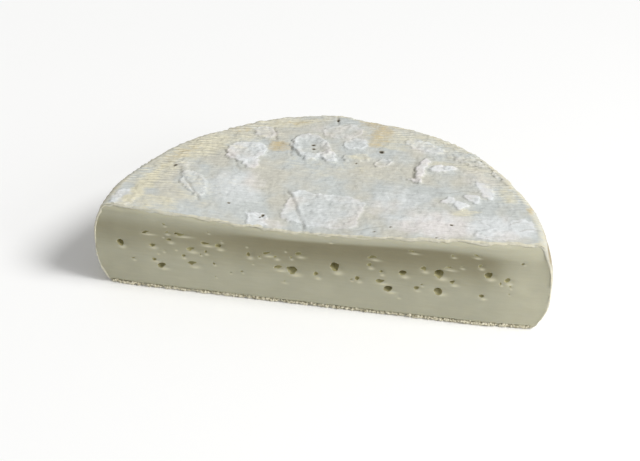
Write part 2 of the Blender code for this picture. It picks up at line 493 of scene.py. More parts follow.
def linear_color(code):
    """An sRGB hex colour as the linear RGBA that nodes take."""
    shares = [int(code[i:i + 2], 16) / 255 for i in (1, 3, 5)]
    return tuple(s / 12.92 if s <= 0.04045 else ((s + 0.055) / 1.055) ** 2.4 for s in shares) + (1.0,)


def add_node(tree, kind, inputs=None, **settings):
    """Add a node, set its properties, and fill its inputs with values or with other nodes' outputs."""
    node = tree.nodes.new(kind)
    for name, value in settings.items():
        setattr(node, name, value)
    for key, value in (inputs or {}).items():
        if isinstance(value, bpy.types.NodeSocket):
            tree.links.new(value, node.inputs[key])
        else:
            node.inputs[key].default_value = value
    return node


def new_material(name):
    """A node material with an output and its Principled shader, both ready to link."""
    material = bpy.data.materials.new(name)
    material.use_nodes = True
    return material, material.node_tree, material.node_tree.nodes["Principled BSDF"]


def finish_surface(tree, shader, color, shades, reliefs):
    """Lead a colour and a fine relief to the shader.

    Each shade is (value, low, high, dark, light): it darkens or lightens the colour as its value goes from
    low to high. Each relief is (height, depth in metres, strength), one laid on another.
    """
    for value, low, high, dark, light in shades:
        factor = add_node(tree, "ShaderNodeMapRange", {
            "Value": value, "From Min": low, "From Max": high, "To Min": dark, "To Max": light})
        color = add_node(tree, "ShaderNodeVectorMath", {0: color, "Scale": factor.outputs[0]},
                         operation="SCALE").outputs[0]
    tree.links.new(color, shader.inputs["Base Color"])
    normal = {}
    for height, depth, strength in reliefs:
        layer = add_node(tree, "ShaderNodeBump", {
            "Height": height, "Distance": depth, "Strength": strength, **normal})
        normal = {"Normal": layer.outputs[0]}
    tree.links.new(normal["Normal"], shader.inputs["Normal"])


def start_tree(name, numbers, material_input, material):
    """A Geometry Nodes tree with named inputs, its start node, and each input's identifier and value."""
    tree = bpy.data.node_groups.new(name, "GeometryNodeTree")
    tree.interface.new_socket("Geometry", in_out="INPUT", socket_type="NodeSocketGeometry")
    values = []
    for label, value in numbers.items():
        socket = tree.interface.new_socket(label, in_out="INPUT", socket_type="NodeSocketFloat")
        values.append((socket.identifier, value))
    socket = tree.interface.new_socket(material_input, in_out="INPUT", socket_type="NodeSocketMaterial")
    values.append((socket.identifier, material))
    tree.interface.new_socket("Geometry", in_out="OUTPUT", socket_type="NodeSocketGeometry")
    return tree, add_node(tree, "NodeGroupInput"), values


def end_tree(tree, geometry, material):
    """Make instances real, put the material on, and lead the result to the tree's output."""
    real = add_node(tree, "GeometryNodeRealizeInstances", {0: geometry})
    coated = add_node(tree, "GeometryNodeSetMaterial", {"Geometry": real.outputs[0], "Material": material})
    end = add_node(tree, "NodeGroupOutput")
    tree.links.new(coated.outputs[0], end.inputs[0])


def make_lumpy(tree, start, geometry, lump_size, amount):
    """Make a tree's instances real and shift their points by a soft noise, so that no two are alike."""
    real = add_node(tree, "GeometryNodeRealizeInstances", {0: geometry})
    place = add_node(tree, "GeometryNodeInputPosition")
    lumps = add_node(tree, "ShaderNodeTexNoise", {
        "Vector": place.outputs[0], "W": start.outputs["Seed"], "Scale": 1 / lump_size, "Detail": 1.0,
    }, noise_dimensions="4D")
    centred = add_node(tree, "ShaderNodeVectorMath", {0: lumps.outputs[1], 1: (0.5, 0.5, 0.5)},
                       operation="SUBTRACT")
    shift = add_node(tree, "ShaderNodeVectorMath", {0: centred.outputs[0], "Scale": amount}, operation="SCALE")
    moved = add_node(tree, "GeometryNodeSetPosition", {"Geometry": real.outputs[0], "Offset": shift.outputs[0]})
    return moved.outputs[0]


def run_tree(piece, tree, values):
    """Put a node tree on a piece, fill its inputs by identifier, and keep the result as its mesh."""
    modifier = piece.modifiers.new(tree.name, "NODES")
    modifier.node_group = tree
    for identifier, value in values:
        modifier[identifier] = value
    bake_modifiers(piece)


# ---------------------------------------------------------------- rind

def turned(x, y, degrees):
    """Plan coordinates turned so that the first runs along a direction given in degrees."""
    angle = math.radians(degrees)
    return x * math.cos(angle) + y * math.sin(angle), -x * math.sin(angle) + y * math.cos(angle)


def flake_relief(x, y, flake):
    """Height of one raised flake in millimetres, and how much of a point it covers."""
    cx, cy, long, wide, degrees, square, height, hollow, whiteness = flake
    u, v = turned(x - cx, y - cy, degrees)
    out = (np.abs(u / long) ** square + np.abs(v / wide) ** square) ** (1.0 / square)
    inward = (1.0 - out) * min(long, wide)
    cover = smooth_step(-0.3, 0.8, inward)
    rim = bump(inward, 1.1, 1.3)
    dip = hollow * smooth_step(0.25, 0.6, 1.0 - out)
    return height * cover * (1.0 - dip + 0.42 * rim), cover * (whiteness * (1.0 - 0.7 * dip) + 0.2 * rim)


def line_relief(x, y, line):
    """Height of one welt or crease in millimetres, as a rounded rib along a short segment."""
    x1, y1, x2, y2, half_width, height = line
    length = math.hypot(x2 - x1, y2 - y1)
    along = ((x - x1) * (x2 - x1) + (y - y1) * (y2 - y1)) / length
    across = (-(x - x1) * (y2 - y1) + (y - y1) * (x2 - x1)) / length
    beyond = np.maximum(np.maximum(-along, along - length), 0.0)
    return height * np.exp(-(across ** 2 + beyond ** 2) / half_width ** 2)


def zone_strength(x, y, zones):
    """How strongly a list of soft oval zones covers each point."""
    total = np.zeros_like(x)
    for cx, cy, long, wide, degrees, strength in zones:
        u, v = turned(x - cx, y - cy, degrees)
        total = np.maximum(total, strength * np.exp(-((u / long) ** 2 + (v / wide) ** 2) ** 2))
    return total


def rind_fields(points, settings):
    """Relief in metres and the colour masks of the rind for points in the wheel's frame."""
    smooth_x = points[:, 0] / MM + cloud(points, 14 * MM, 1) * 2.4
    smooth_y = points[:, 1] / MM + cloud(points, 14 * MM, 3) * 2.4
    x = smooth_x + cloud(points, 4 * MM, 2) * 1.9
    y = smooth_y + cloud(points, 4 * MM, 4) * 1.7
    radius = np.hypot(points[:, 0], points[:, 1])
    degrees = np.degrees(np.arctan2(points[:, 1], points[:, 0]))
    on_top = smooth_step(0.9, 1.0, points[:, 2] / (WHEEL_HEIGHT + top_change(points[:, 0], points[:, 1])))
    from_rim = (RADIUS - SHOULDER_INSET + rim_change(np.radians(degrees)) - radius) / MM

    fine = cloud(points, 3.0 * MM, 6, 3)
    flakes = np.zeros_like(x)
    white = np.zeros_like(x)
    for flake in FLAKES:
        height, cover = flake_relief(x, y, flake)
        flakes = np.maximum(flakes, height * settings.flake_height * (1.0 + 0.45 * fine))
        white = np.maximum(white, cover)
    # Painted shade: the creases and the small pits are darkened in colour where their shade falls.
    shade_and_darkening = np.zeros_like(x)
    for line in WELTS:
        height = line_relief(smooth_x, smooth_y, line)
        flakes += height * settings.flake_height
        shade_and_darkening = np.maximum(shade_and_darkening, 0.55 * np.clip(-height, 0.0, 1.0))
    for cx, cy, size in SHADED_PITS:
        spot = np.exp(-(((smooth_x - cx) ** 2 + (smooth_y - cy) ** 2) / size ** 2) ** 2)
        flakes -= 0.5 * spot
        shade_and_darkening = np.maximum(shade_and_darkening, 2.0 * spot)

    along, across = turned(points[:, 0], points[:, 1], settings.mat_direction)
    stretched = np.stack([0.13 * along, across, points[:, 2]], 1)
    short = np.stack([0.35 * along, across, points[:, 2]], 1)
    streaks = cloud(stretched, 2.6 * MM, 8, 3)
    peels = smooth_step(0.02, 0.14, cloud(short, 5 * MM, 9, 3))
    crust = cloud(points, 22 * MM, 5, 4)
    patches = smooth_step(-0.02, 0.10, crust)
    plates = smooth_step(0.04, 0.13, cloud(points, 8 * MM, 10, 4))

    # Worn zones, where the mat has rubbed the mould thin.
    left_back = smooth_step(98, 125, degrees) * smooth_step(42, 16, from_rim)
    left_back *= smooth_step(176, 158, degrees)
    right_back = smooth_step(95, 60, degrees) * smooth_step(34, 8, from_rim)
    right_back *= smooth_step(14, 32, degrees)
    back = bump(degrees, 98, 30) * smooth_step(20, 4, from_rim)
    worn = np.maximum.reduce([left_back, right_back, back])
    relief = flakes * on_top + 0.16 * patches + 0.22 * plates * on_top + 0.15 * fine
    relief += 0.45 * cloud(points, 30 * MM, 7, 2) + streaks * (0.16 + 0.34 * worn) + 0.30 * peels * worn

    edge = smooth_step(5, 0, from_rim)
    cream = np.maximum(zone_strength(x, y, CREAM_ZONES), 0.30 * np.clip(streaks, 0, 1) * worn)
    cream = np.maximum.reduce([cream, 0.46 * left_back, 0.32 * right_back, 0.55 * edge])
    ochre = np.maximum(zone_strength(x, y, OCHRE_ZONES), 0.30 * edge)
    white = np.maximum(white, zone_strength(x, y, WHITE_ZONES))

    side = 1.0 - on_top
    cream = cream * on_top + side * (0.65 - 0.3 * patches)
    shoulder = smooth_step(22 * MM, 46 * MM, points[:, 2])
    ochre = ochre * on_top + side * (0.50 + 0.35 * shoulder - 0.3 * patches)
    white = white * on_top + side * 0.2 * patches
    # The side's upper part is darkened in colour, most strongly near the right end of the cut.
    side_darkening = 0.28 + 0.55 * bump(degrees, 14, 15)
    shade_and_darkening = shade_and_darkening * on_top + side * shoulder * side_darkening * (1.0 - 0.5 * patches)
    mat = on_top * np.maximum.reduce([left_back, right_back, 0.8 * back, 0.12 * np.ones_like(x)])
    mat = mat * (1.0 - 0.8 * np.clip(white, 0, 1)) + side * 0.55
    return relief * MM, cream, ochre, white, shade_and_darkening, mat, on_top


def mat_print_tree(pitch, depth, seed, material):
    """Node tree that presses the ridges of a draining mat into the rind where its mask allows."""
    numbers = {"Pitch": pitch, "Depth": depth, "Seed": seed}
    tree, start, values = start_tree("draining_mat_print", numbers, "Rind", material)
    place = add_node(tree, "GeometryNodeInputPosition")
    along = add_node(tree, "GeometryNodeInputNamedAttribute", {"Name": "mat_coordinate"}, data_type="FLOAT")
    mask = add_node(tree, "GeometryNodeInputNamedAttribute", {"Name": "mat_mask"}, data_type="FLOAT")
    drift = add_node(tree, "ShaderNodeTexNoise", {
        "Vector": place.outputs[0], "W": start.outputs["Seed"], "Scale": 1 / (26 * MM), "Detail": 2.0,
    }, noise_dimensions="4D")
    breaks = add_node(tree, "ShaderNodeTexNoise", {
        "Vector": place.outputs[0], "W": start.outputs["Seed"], "Scale": 1 / (8 * MM), "Detail": 3.0,
    }, noise_dimensions="4D")
    turns = add_node(tree, "ShaderNodeMath", {0: along.outputs[0], 1: start.outputs["Pitch"]},
                     operation="DIVIDE")
    bent = add_node(tree, "ShaderNodeMath", {0: drift.outputs[0], 1: 3.4, 2: turns.outputs[0]},
                    operation="MULTIPLY_ADD")
    phase = add_node(tree, "ShaderNodeMath", {0: bent.outputs[0], 1: math.tau}, operation="MULTIPLY")
    wave = add_node(tree, "ShaderNodeMath", {0: phase.outputs[0]}, operation="SINE")
    broken = add_node(tree, "ShaderNodeMapRange", {
        "Value": breaks.outputs[0], "From Min": 0.42, "From Max": 0.58, "To Min": 0.0, "To Max": 1.0})
    strength = add_node(tree, "ShaderNodeMath", {0: broken.outputs[0], 1: mask.outputs[0]},
                        operation="MULTIPLY")
    ridge = add_node(tree, "ShaderNodeMath", {0: wave.outputs[0], 1: strength.outputs[0]},
                     operation="MULTIPLY")
    height = add_node(tree, "ShaderNodeMath", {0: ridge.outputs[0], 1: start.outputs["Depth"]},
                      operation="MULTIPLY")
    normal = add_node(tree, "GeometryNodeInputNormal")
    shift = add_node(tree, "ShaderNodeVectorMath", {0: normal.outputs[0], "Scale": height.outputs[0]},
                     operation="SCALE")
    moved = add_node(tree, "GeometryNodeSetPosition", {
        "Geometry": start.outputs["Geometry"], "Offset": shift.outputs[0]})
    kept = add_node(tree, "GeometryNodeStoreNamedAttribute", {
        "Geometry": moved.outputs[0], "Name": "mat_ridge", "Value": ridge.outputs[0],
    }, data_type="FLOAT", domain="POINT")
    end_tree(tree, kept.outputs[0], start.outputs["Rind"])
    return tree, values


def mould_rind_material(settings):
    """Bloomy white mould over a washed cream rind: dry, matt and fibrous along the mat's lines."""
    material, tree, shader = new_material("bloomy_mould_rind")
    place = add_node(tree, "ShaderNodeTexCoord").outputs["Object"]
    lined = add_node(tree, "ShaderNodeMapping", {
        "Vector": place, "Rotation": (0.0, 0.0, -math.radians(settings.mat_direction)),
        "Scale": (0.10, 1.0, 1.0)}).outputs[0]
    cream, ochre, white, shade_and_darkening, ridge = [
        add_node(tree, "ShaderNodeAttribute", attribute_name=name).outputs["Fac"]
        for name in ("cream", "ochre", "white", "shade_and_darkening", "mat_ridge")]
    # Real mould is a powder of about 0.1 mm: it is drawn at 0.9 mm, coarse enough to show.
    blotch, tone, fibre, powder = [
        add_node(tree, "ShaderNodeTexNoise", {
            "Vector": vector, "Scale": 1 / size, "Detail": detail, "Roughness": roughness}).outputs[0]
        for vector, size, detail, roughness in (
            (place, 7 * MM, 6.0, 0.65),
            (place, 24 * MM, 3.0, 0.5),
            (lined, 1.5 * MM, 4.0, 0.6),
            (place, 0.9 * MM, 3.0, 0.6))]

    # Where each layer shows: its zones, with their edges broken up by blotches, ridges and fibres.
    shares = []
    for zones, low, high, ridge_share, fibre_share in (
            (white, 0.95, 1.65, 0.0, 0.3),
            (cream, 1.20, 1.85, 0.10, 1.0),
            (ochre, 1.30, 1.95, -0.20, 1.0)):
        broken = zones
        for source, share in ((blotch, 1.0), (ridge, ridge_share), (fibre, fibre_share)):
            broken = add_node(tree, "ShaderNodeMath", {0: source, 1: share, 2: broken},
                              operation="MULTIPLY_ADD").outputs[0]
        shares.append((broken, low, high))
    # The last two shares lay on the painted shade of creases and pits, and the side's darkening.
    shares += [(tone, 0.40, 0.62), (tone, 0.42, 0.60), (shade_and_darkening, 0.0, 1.0), (shade_and_darkening, 1.0, 1.7)]
    in_white, in_cream, in_ochre, in_warm, in_pink, in_shade_and_darkening, in_pit_shade = [
        add_node(tree, "ShaderNodeMapRange", {"Value": value, "From Min": low, "From Max": high}).outputs[0]
        for value, low, high in shares]

    color, fresh = [
        add_node(tree, "ShaderNodeMix", {
            MIX_FACTOR: share, MIX_A: tuple(first), MIX_B: tuple(second)}, data_type="RGBA").outputs[MIX_RESULT]
        for share, first, second in (
            (in_warm, settings.mould_color, settings.warm_mould_color),
            (in_pink, settings.white_color, settings.pink_white_color))]
    for share, layer in (
            (in_white, fresh),
            (in_cream, tuple(settings.cream_color)),
            (in_ochre, tuple(settings.ochre_color)),
            (in_shade_and_darkening, tuple(settings.shade_and_darkening_color)),
            (in_pit_shade, tuple(settings.pit_shade_color))):
        color = add_node(tree, "ShaderNodeMix", {MIX_FACTOR: share, MIX_A: color, MIX_B: layer},
                         data_type="RGBA").outputs[MIX_RESULT]
    shader.inputs["Roughness"].default_value = 0.82
    shader.inputs["IOR"].default_value = 1.45
    shader.inputs["Specular IOR Level"].default_value = 0.3
    shades = (
        (fibre, 0.3, 0.7, 0.92, 1.07),
        (powder, 0.3, 0.7, 0.965, 1.035),
        # Painted light on the mat's ridges and painted shade in its grooves.
        (ridge, -0.6, 0.6, 0.86, 1.10))
    reliefs = ((blotch, 1.0 * MM, 0.65), (fibre, 0.5 * MM, 0.7), (powder, 0.18 * MM, 0.55))
    finish_surface(tree, shader, color, shades, reliefs)
    return material


def build_rind(settings):
    """The rind as a closed shell: detailed skin, a beaded edge round the cut, and a plain inner wall."""
    skin = Sheet(RIND_ACROSS, RIND_DEEP, RIND_ROWS, 0.0, 0.2 * MM)
    relief, cream, ochre, white, shade_and_darkening, mat, on_top = rind_fields(skin.points, settings)
    plain = bpy.data.meshes.new("plain_skin")
    plain.from_pydata(skin.points.tolist(), [], skin.faces)
    normals = point_normals(plain)
    bpy.data.meshes.remove(plain)
    at_base = skin.points[:, 2] < 0.3 * MM
    relief[at_base] = 0.0
    points = skin.points + normals * relief[:, None]
    ragged = 0.9 * cloud(skin.points, 11 * MM, 11, 2) + 0.4 * cloud(skin.points, 3 * MM, 13, 2)
    ragged = np.maximum(ragged, -0.45) * settings.edge_raggedness
    points[:, 1] += (ragged + settings.edge_bevel) * smooth_step(0.965, 1.0, skin.near_cut)

    inner = Sheet(RIND_ACROSS // STEP, COARSE_DEEP, RIND_ROWS // STEP, settings.thickness, 3.0 * MM)
    loop = skin.loop
    edge = points[loop]
    tangent = np.roll(edge, -3, axis=0) - np.roll(edge, 3, axis=0)
    inward = np.stack([tangent[:, 2], 0 * tangent[:, 0], -tangent[:, 0]], 1)
    inward /= np.linalg.norm(inward, axis=1, keepdims=True)
    width = settings.thickness * (1.0 + 0.7 * cloud(edge, 9 * MM, 12, 2))
    width = np.maximum(width * np.where(inward[:, 2] < -0.5, 1.1, 0.85), PASTE_INSET + 0.5 * MM)
    rows = []
    for share, bevel, sunk in RIM_ROWS:
        row = edge + inward * (width * share)[:, None]
        face = face_place(row[:, 0], row[:, 2])
        row[:, 1] = face + sunk * MM + bevel * (settings.edge_bevel + ragged[loop])
        rows.append(row)

    count, lap = len(points), len(loop)
    all_points = np.concatenate([points] + rows + [inner.points])
    faces = list(skin.faces)
    lines = [loop] + [np.arange(lap) + count + k * lap for k in range(len(rows))]
    for outer, within in zip(lines[:-1], lines[1:]):
        faces += np.stack([outer, within, np.roll(within, -1), np.roll(outer, -1)], -1).tolist()
    first_inner = count + len(rows) * lap
    faces += [[i + first_inner for i in face[::-1]] for face in inner.faces]
    inner_loop = inner.loop + first_inner
    last = lines[-1]
    for i in range(len(inner_loop)):
        run = [last[(i * STEP + k) % lap] for k in range(STEP + 1)]
        after = inner_loop[(i + 1) % len(inner_loop)]
        faces.append([int(v) for v in run[::-1]] + [int(inner_loop[i]), int(after)])

    material = mould_rind_material(settings)
    piece = make_piece("rind", all_points, faces, [material])
    rim_count, inner_count = len(rows) * lap, len(inner.points)

    def whole(values, rim, rest=0.0):
        return np.concatenate([values, np.full(rim_count, rim), np.full(inner_count, rest)])

    store_values(piece.data, "cream", whole(cream, 0.70))
    store_values(piece.data, "ochre", whole(ochre, 0.0))
    store_values(piece.data, "white", whole(white, 0.3))
    store_values(piece.data, "shade_and_darkening", whole(shade_and_darkening, 0.0))
    mat[at_base] = 0.0
    store_values(piece.data, "mat_mask", whole(mat * (1.0 - smooth_step(0.97, 1.0, skin.near_cut)), 0.0))
    _, plan = turned(all_points[:, 0], all_points[:, 1], settings.mat_direction)
    store_values(piece.data, "mat_coordinate", np.where(whole(on_top, 0.0) > 0.5, plan, all_points[:, 2]))
    run_tree(piece, *mat_print_tree(settings.mat_pitch, settings.mat_depth, 3.0, material))
    clip_to_box(piece)
    finish_piece(piece, "rind", "half_wheel")
    return piece


# ---------------------------------------------------------------- paste

def eye_cutter_tree(unevenness, seed, wall):
    """Node tree that puts an uneven gas-hole shape on each point, sized by the point's own values."""
    numbers = {"Unevenness": unevenness, "Seed": seed}
    tree, start, values = start_tree("eye_cutters", numbers, "Wall", wall)
    ball = add_node(tree, "GeometryNodeMeshIcoSphere", {"Radius": 1.0, "Subdivisions": 3})
    size = add_node(tree, "GeometryNodeInputNamedAttribute", {"Name": "eye_size"}, data_type="FLOAT_VECTOR")
    tilt = add_node(tree, "GeometryNodeInputNamedAttribute", {"Name": "eye_tilt"}, data_type="FLOAT_VECTOR")
    placed = add_node(tree, "GeometryNodeInstanceOnPoints", {
        "Points": start.outputs["Geometry"], "Instance": ball.outputs[0],
        "Rotation": tilt.outputs[0], "Scale": size.outputs[0]})
    uneven = make_lumpy(tree, start, placed.outputs[0], EYE_LUMP_SIZE, start.outputs["Unevenness"])
    end_tree(tree, uneven, start.outputs["Wall"])
    return tree, values


def eye_list(settings):
    """All eyes of the cut face as (x, height, half width, half height, depth) in metres."""
    draw = random.Random(settings.eye_seed)
    eyes = list(LARGE_EYES)
    tries = 0
    while len(eyes) < settings.eye_count and tries < 4000:
        tries += 1
        x = draw.uniform(-134, 136)
        z = draw.gauss(32, 10.5)
        half_width = 0.5 + 1.2 * draw.random() ** 1.8
        half_height = half_width * draw.uniform(0.45, 0.95)
        clear = all(math.hypot((x - e[0]) / 1.5, z - e[1]) > 1.0 + half_width + 0.7 * e[2] for e in eyes)
        if clear and 11 < z < 53:
            eyes.append((x, z, half_width, half_height, half_height * draw.uniform(0.7, 1.1) + 0.25))
    return [tuple(value * MM for value in eye) for eye in eyes]


def paste_material(settings, name, color, roughness):
    """Semi-soft pressed paste, cut with a wire: smooth and faintly moist, so it scatters some light."""
    material, tree, shader = new_material(name)
    place = add_node(tree, "ShaderNodeTexCoord").outputs["Object"]
    dragged = add_node(tree, "ShaderNodeMapping", {"Vector": place, "Scale": (0.06, 1.0, 1.0)}).outputs[0]
    ripe_and_shade, torn = [
        add_node(tree, "ShaderNodeAttribute", attribute_name=stored).outputs["Fac"]
        for stored in ("ripe_and_shade", "painted_lip_light")]
    blotch, streak, grain = [
        add_node(tree, "ShaderNodeTexNoise", {
            "Vector": vector, "Scale": 1 / size, "Detail": detail}).outputs[0]
        for vector, size, detail in (
            (place, 16 * MM, 4.0),
            (dragged, 1.2 * MM, 3.0),
            (place, 0.6 * MM, 2.0))]
    pits = add_node(tree, "ShaderNodeTexVoronoi", {"Vector": place, "Scale": 1 / (2.4 * MM)})
    pit_height = add_node(tree, "ShaderNodeMapRange", {
        "Value": pits.outputs["Distance"], "From Min": 0.05, "From Max": 0.22}).outputs[0]
    # Painted layers: riper paste with painted shade below the lip, then painted light on the lips beside the
    # eyes, under the rind's edge and at the right end.
    for share, layer in ((ripe_and_shade, settings.ripe_and_shade_color), (torn, settings.lip_light_color)):
        color = add_node(tree, "ShaderNodeMix", {MIX_FACTOR: share, MIX_A: color, MIX_B: tuple(layer)},
                         data_type="RGBA").outputs[MIX_RESULT]
    shader.inputs["IOR"].default_value = 1.46
    shader.inputs["Roughness"].default_value = roughness
    shader.inputs["Specular IOR Level"].default_value = 0.35
    shader.inputs["Subsurface Weight"].default_value = 0.25
    shader.inputs["Subsurface Radius"].default_value = (1.0, 0.8, 0.45)
    shader.inputs["Subsurface Scale"].default_value = 2.0 * MM
    shades = ((blotch, 0.3, 0.7, 0.95, 1.04), (streak, 0.3, 0.7, 0.975, 1.02))
    reliefs = ((streak, 0.12 * MM, 0.5), (pit_height, 0.08 * MM, 0.4), (grain, 0.05 * MM, 0.4))
    finish_surface(tree, shader, color, shades, reliefs)
    return material


def extra_hollow(x, z, settings):
    """How much deeper than the plain solid's the paste is hollowed under its lip."""
    under = below_top(x, z)
    towards_ends = 0.75 * smooth_step(85 * MM, 135 * MM, x) + 0.6 * smooth_step(-30 * MM, -90 * MM, x)
    depth = settings.hollow_depth * (1.0 - towards_ends)
    return depth * smooth_step(2 * MM, 10 * MM, under) * smooth_step(36 * MM, 11 * MM, under)


def build_paste(settings):
    """The paste as a closed body: plain under the rind, dense on the cut face, pierced by eyes."""
    coarse_across, coarse_rows = PASTE_ACROSS // PASTE_STEP, PASTE_ROWS // PASTE_STEP
    body = Sheet(coarse_across, COARSE_DEEP, coarse_rows, PASTE_INSET, PASTE_RECESS)
    profile = side_profile(PASTE_ROWS, PASTE_INSET)
    share = np.linspace(-1.0, 1.0, PASTE_ACROSS + 1)
    radius = np.abs(share)[None, :] * profile[:, :1]
    angle = np.broadcast_to(np.where(share < 0, math.pi, 0.0)[None, :], radius.shape)
    face = wheel_points(radius, angle, profile[:, 1:] + 0.0 * radius)
    shape = face.shape[:2]
    face = face.reshape(-1, 3)
    x, z = face[:, 0], face[:, 2]
    face[:, 1] = face_place(x, z) + PASTE_RECESS + extra_hollow(x, z, settings)
    stretched = face * np.array((0.25, 1.0, 1.0))
    waves = 0.35 * MM * cloud(face, 25 * MM, 22, 2)
    face[:, 1] += settings.knife_marks * cloud(stretched, 4 * MM, 21, 3) + waves

    eyes = eye_list(settings)
    torn = np.zeros_like(x)
    for ex, ez, half_width, half_height, _ in eyes:
        across, along = 1.4 * half_width + 0.4 * MM, 1.2 * half_height + 0.6 * MM
        # A shallow dent round each eye, and a lip that the wire has dragged up at its lower right.
        dent = np.hypot((x - ex - 0.3 * across) / across, (z - ez + 0.2 * along) / along)
        lip = np.hypot((x - ex - 0.4 * across) / (0.75 * across), (z - ez + 1.1 * along) / (0.45 * along))
        face[:, 1] += (0.32 * half_height + 0.12 * MM) * np.exp(-dent ** 2)
        face[:, 1] -= (0.36 * half_height + 0.14 * MM) * np.exp(-lip ** 2)
        # Painted light: the lip below each eye is painted lighter, where it would catch the light.
        torn = np.maximum(torn, 0.9 * np.exp(-lip ** 2))

    grid = np.arange(len(face)).reshape(shape)
    loop = np.concatenate([grid[0], grid[1:, -1], grid[-1, -2::-1], grid[-2:0:-1, 0]])
    offset = len(face)
    points = np.concatenate([face, body.points])
    faces = np.stack([grid[:-1, :-1], grid[1:, :-1], grid[1:, 1:], grid[:-1, 1:]], -1).reshape(-1, 4).tolist()
    faces += [[i + offset for i in one] for one in body.faces]
    body_loop = body.loop + offset
    for i in range(len(body_loop)):
        run = [int(loop[(i * PASTE_STEP + k) % len(loop)]) for k in range(PASTE_STEP + 1)]
        faces.append([int(body_loop[(i + 1) % len(body_loop)]), int(body_loop[i])] + run)

    smooth = paste_material(settings, "semi_soft_paste", tuple(settings.paste_color), 0.55)
    # The eye walls are darker than the paste: partly their moist tone, partly painted shade inside the eyes.
    wall = paste_material(settings, "eye_wall_paste", tuple(settings.eye_wall_and_shade_color), 0.40)
    piece = make_piece("paste", points, faces, [smooth, wall])
    edge_x = np.interp(z, profile[::-1, 1], profile[::-1, 0])
    under = below_top(x, z)
    to_right = smooth_step(-110 * MM, -20 * MM, x)
    at_right = smooth_step(70 * MM, 130 * MM, x)
    # The band below the lip is painted darker: partly riper paste under the rind, partly painted shade under
    # the overhanging lip.
    ripe = smooth_step((3 + 2 * to_right) * MM, (17 - 8 * to_right + 5 * at_right) * MM, under)
    ripe *= smooth_step(42 * MM, (17 - 5 * to_right) * MM, under) * (0.68 + 0.32 * to_right)
    ripe *= 1.0 - 0.85 * smooth_step(106 * MM, 134 * MM, x)
    # Darker and browner towards the left end.
    left = 0.15 * smooth_step(-90 * MM, -140 * MM, x)
    edge_tint = 0.2 * smooth_step(settings.under_rind_depth, 0.0, np.minimum(x + edge_x, z + 4 * MM))
    ripe_and_shade = np.zeros(len(points))
    ripe_and_shade[:offset] = np.maximum.reduce([ripe, left, edge_tint])
    # Painted light: a lighter band just under the rind's edge and a lighter right end, together with the eyes'
    # lips.
    painted_lip_light = np.zeros(len(points))
    lip_band_light = 0.5 * smooth_step(5.5 * MM, 1.0 * MM, under)
    painted_lip_light[:offset] = np.maximum.reduce([torn, lip_band_light, 0.32 * smooth_step(110 * MM, 140 * MM, x)])
    store_values(piece.data, "ripe_and_shade", ripe_and_shade)
    store_values(piece.data, "painted_lip_light", painted_lip_light)
    cut_eyes(piece, eyes, wall, settings)
    clip_to_box(piece)
    finish_piece(piece, "paste")
    return piece


def cut_eyes(piece, eyes, wall, settings):
    """Take the eyes out of the paste with cutters that a node tree makes."""
    draw = random.Random(settings.eye_seed + 1)
    centres, sizes, tilts = [], [], []
    for x, z, half_width, half_height, depth in eyes:
        spot = np.array(x), np.array(z)
        shallow = depth < 3.5 * MM
        y = face_place(*spot) + PASTE_RECESS + extra_hollow(*spot, settings)
        y = y + (0.0 if shallow else 0.10) * depth
        centres.append((x + AXIS_X, float(y) + AXIS_Y, z))
        sizes.append((half_width, depth * (0.75 if shallow else 1.0), half_height))
        tilts.append((draw.uniform(0.35, 0.75), draw.uniform(-0.3, 0.2), draw.uniform(-0.3, 0.3)))
    mesh = bpy.data.meshes.new("eye_points")
    mesh.from_pydata(centres, [], [])
    for name, values in (("eye_size", sizes), ("eye_tilt", tilts)):
        layer = mesh.attributes.new(name, "FLOAT_VECTOR", "POINT")
        layer.data.foreach_set("vector", np.array(values, dtype=np.float32).ravel())
    cutter = bpy.data.objects.new("eye_cutter", mesh)
    bpy.context.scene.collection.objects.link(cutter)
    run_tree(cutter, *eye_cutter_tree(settings.eye_unevenness, 5.0, wall))
    cutter.data.shade_smooth()
    boolean = piece.modifiers.new("eyes", "BOOLEAN")
    boolean.operation = "DIFFERENCE"
    boolean.solver = "MANIFOLD"
    boolean.material_mode = "TRANSFER"
    boolean.object = cutter
    bake_modifiers(piece)
    bpy.data.objects.remove(cutter)


# ---------------------------------------------------------------- crumbs

def crumb_tree(size, seed, material):
    """Node tree that scatters broken bits of rind and paste over the points of the cut's lower edge."""
    tree, start, values = start_tree("edge_crumbs", {"Size": size, "Seed": seed}, "Crumb", material)
    bit = add_node(tree, "GeometryNodeMeshIcoSphere", {"Radius": 1.0, "Subdivisions": 1})
    share = add_node(tree, "GeometryNodeInputNamedAttribute", {"Name": "crumb_size"}, data_type="FLOAT_VECTOR")
    scale = add_node(tree, "ShaderNodeVectorMath", {0: share.outputs[0], "Scale": start.outputs["Size"]},
                     operation="SCALE")
    spin = add_node(tree, "FunctionNodeRandomValue", {0: (0.0, 0.0, 0.0), 1: (6.0, 6.0, 6.0), "Seed": 4},
                    data_type="FLOAT_VECTOR")
    placed = add_node(tree, "GeometryNodeInstanceOnPoints", {
        "Points": start.outputs["Geometry"], "Instance": bit.outputs[0],
        "Rotation": spin.outputs[0], "Scale": scale.outputs[0]})
    broken = make_lumpy(tree, start, placed.outputs[0], CRUMB_LUMP_SIZE, start.outputs["Size"])
    end_tree(tree, broken, start.outputs["Crumb"])
    return tree, values


